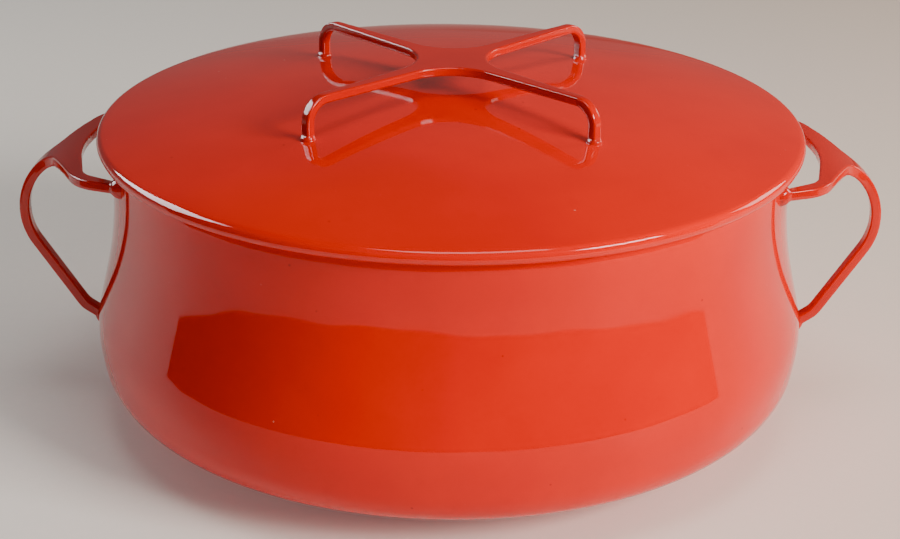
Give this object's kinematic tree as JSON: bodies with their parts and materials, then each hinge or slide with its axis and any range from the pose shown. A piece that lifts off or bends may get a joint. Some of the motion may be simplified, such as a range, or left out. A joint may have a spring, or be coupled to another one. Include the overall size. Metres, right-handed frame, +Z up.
{
  "type": "covered two-handled casserole",
  "caption": "Round enamelled steel casserole with a bellied pot, bent strap side handles and a domed lift-off lid with a cross-shaped handle.",
  "frame": {"origin": "middle of the flat base, on the surface that the pot stands on", "axes": "+Z up, +X through the right side handle, so both side handles lie on X and the lid lifts along +Z"},
  "size_m": [0.3542, 0.2906, 0.1495],
  "materials": {
    "pot_enamel": "glossy orange-red enamel outside, off-white enamel inside",
    "lid_enamel": "glossy orange-red enamel",
    "ring_enamel": "glossy off-white enamel",
    "handle_enamel": "glossy orange-red enamel on bent plate",
    "weld_enamel": "glossy orange-red enamel over weld beads"
  },
  "bodies": {
    "pot": {"pot_body": "pot_enamel", "left_handle": "handle_enamel", "left_handle_welds": "weld_enamel", "right_handle": "handle_enamel", "right_handle_welds": "weld_enamel"},
    "lid": {"lid_shell": "lid_enamel", "lid_locating_ring": "ring_enamel", "lid_handle": "handle_enamel", "lid_handle_welds": "weld_enamel"}
  },
  "joints": [
    {"name": "lid_lift", "type": "slide", "parent": "pot", "child": "lid", "axis": [0, 0, 1], "range_m": [0, 0.12]}
  ]
}
